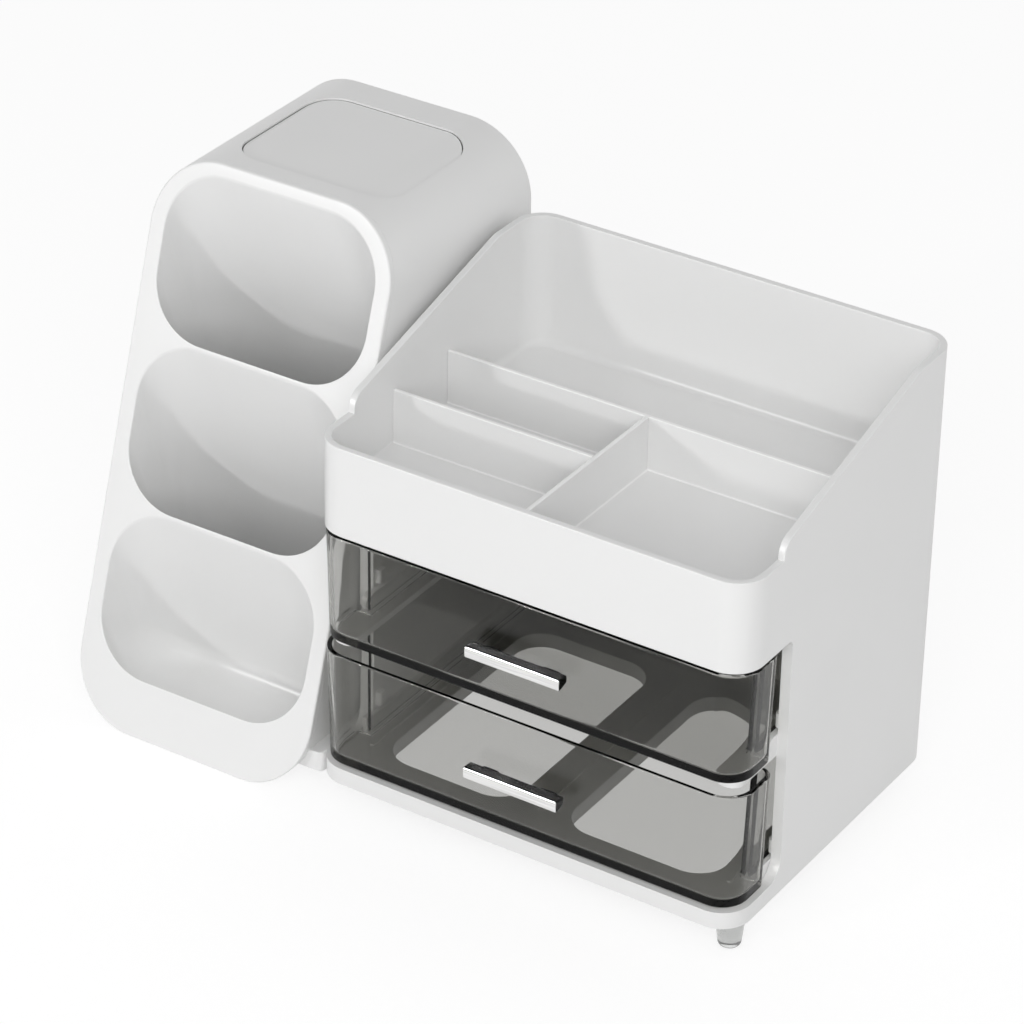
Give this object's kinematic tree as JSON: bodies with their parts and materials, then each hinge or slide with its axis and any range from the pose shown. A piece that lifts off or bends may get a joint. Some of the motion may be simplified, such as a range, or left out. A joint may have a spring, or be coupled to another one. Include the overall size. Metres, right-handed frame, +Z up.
{
  "type": "cosmetics organiser",
  "caption": "Desktop cosmetics organiser: an open divided tray over smoked pull-out drawers, joined to a leaning tower with slanted brush wells.",
  "frame": {"origin": "centre of the footprint's bounding box, on the table", "axes": "+X to the organiser's right, +Y towards its back, +Z up"},
  "size_m": [0.307, 0.1652, 0.2256],
  "materials": {
    "white_plastic": "satin moulded",
    "smoked_plastic": "clear smoked grey, polished",
    "handle_metal": "fine brushed",
    "clear_rubber": "translucent, smooth",
    "mat_rubber": "matt",
    "screw_steel": "zinc plated"
  },
  "bodies": {
    "organiser": {"outer_case": "white_plastic", "rear_divider": "white_plastic", "cross_divider": "white_plastic", "middle_divider": "white_plastic", "base_plate": "white_plastic", "left_runner": "white_plastic", "right_runner": "white_plastic", "drawer_stops": "white_plastic", "tower_jacket": "white_plastic", "brush_block": "white_plastic", "base_screws": "screw_steel", "runner_screws": "screw_steel", "tower_screws": "screw_steel", "bridge_screws": "screw_steel", "tower_mats": "mat_rubber", "front_foot": "clear_rubber", "rear_foot": "clear_rubber"},
    "lower_drawer": {"lower_drawer": "smoked_plastic", "lower_handle": "handle_metal"},
    "upper_drawer": {"upper_drawer": "smoked_plastic", "upper_handle": "handle_metal"}
  },
  "joints": [
    {"name": "lower_drawer_slide", "type": "slide", "parent": "organiser", "child": "lower_drawer", "axis": [0, -1, 0], "range_m": [0, 0.1]},
    {"name": "upper_drawer_slide", "type": "slide", "parent": "organiser", "child": "upper_drawer", "axis": [0, -1, 0], "range_m": [0, 0.1]}
  ]
}
